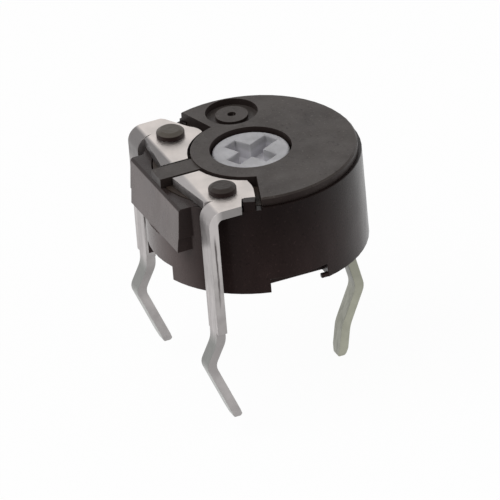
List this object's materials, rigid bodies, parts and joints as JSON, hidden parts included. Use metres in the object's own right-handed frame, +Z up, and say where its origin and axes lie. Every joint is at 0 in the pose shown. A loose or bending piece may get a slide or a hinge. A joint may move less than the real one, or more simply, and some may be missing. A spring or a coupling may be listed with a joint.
{
  "type": "trimmer potentiometer",
  "caption": "Closed round carbon trimmer potentiometer with a cross-slotted rotor on top and kinked snap-in pins for a through-hole board.",
  "frame": {"origin": "on the rotor axis, level with the tip of the wiper pin, which is the lowest point of the part", "axes": "+Z up the rotor axis, from the pins to the screwdriver cross; +X from the axis towards the wiper pin; the end pins stand at -X, one on each side of the XZ plane"},
  "size_m": [0.0062, 0.0062, 0.0074],
  "materials": {
    "housing": "satin moulded thermoset",
    "cover": "satin moulded thermoset",
    "rotor": "satin moulded",
    "spring": "rolled spring bronze",
    "terminal": "tinned sheet",
    "board": "phenolic paper board",
    "carbon": "printed carbon film",
    "silver": "printed silver film"
  },
  "bodies": {
    "body": {"housing": "housing", "cover": "cover", "track_board": "board", "carbon_track": "carbon", "silver_pad_1": "silver", "silver_pad_2": "silver", "collector_terminal": "terminal", "end_terminal_1": "terminal", "end_terminal_2": "terminal"},
    "rotor": {"rotor": "rotor", "wiper_spring": "spring"}
  },
  "joints": [
    {"name": "rotor_turn", "type": "hinge", "parent": "body", "child": "rotor", "pos_m": [0, 0, 0.0043], "axis": [0, 0, 1], "range_deg": [-145, 90]}
  ]
}
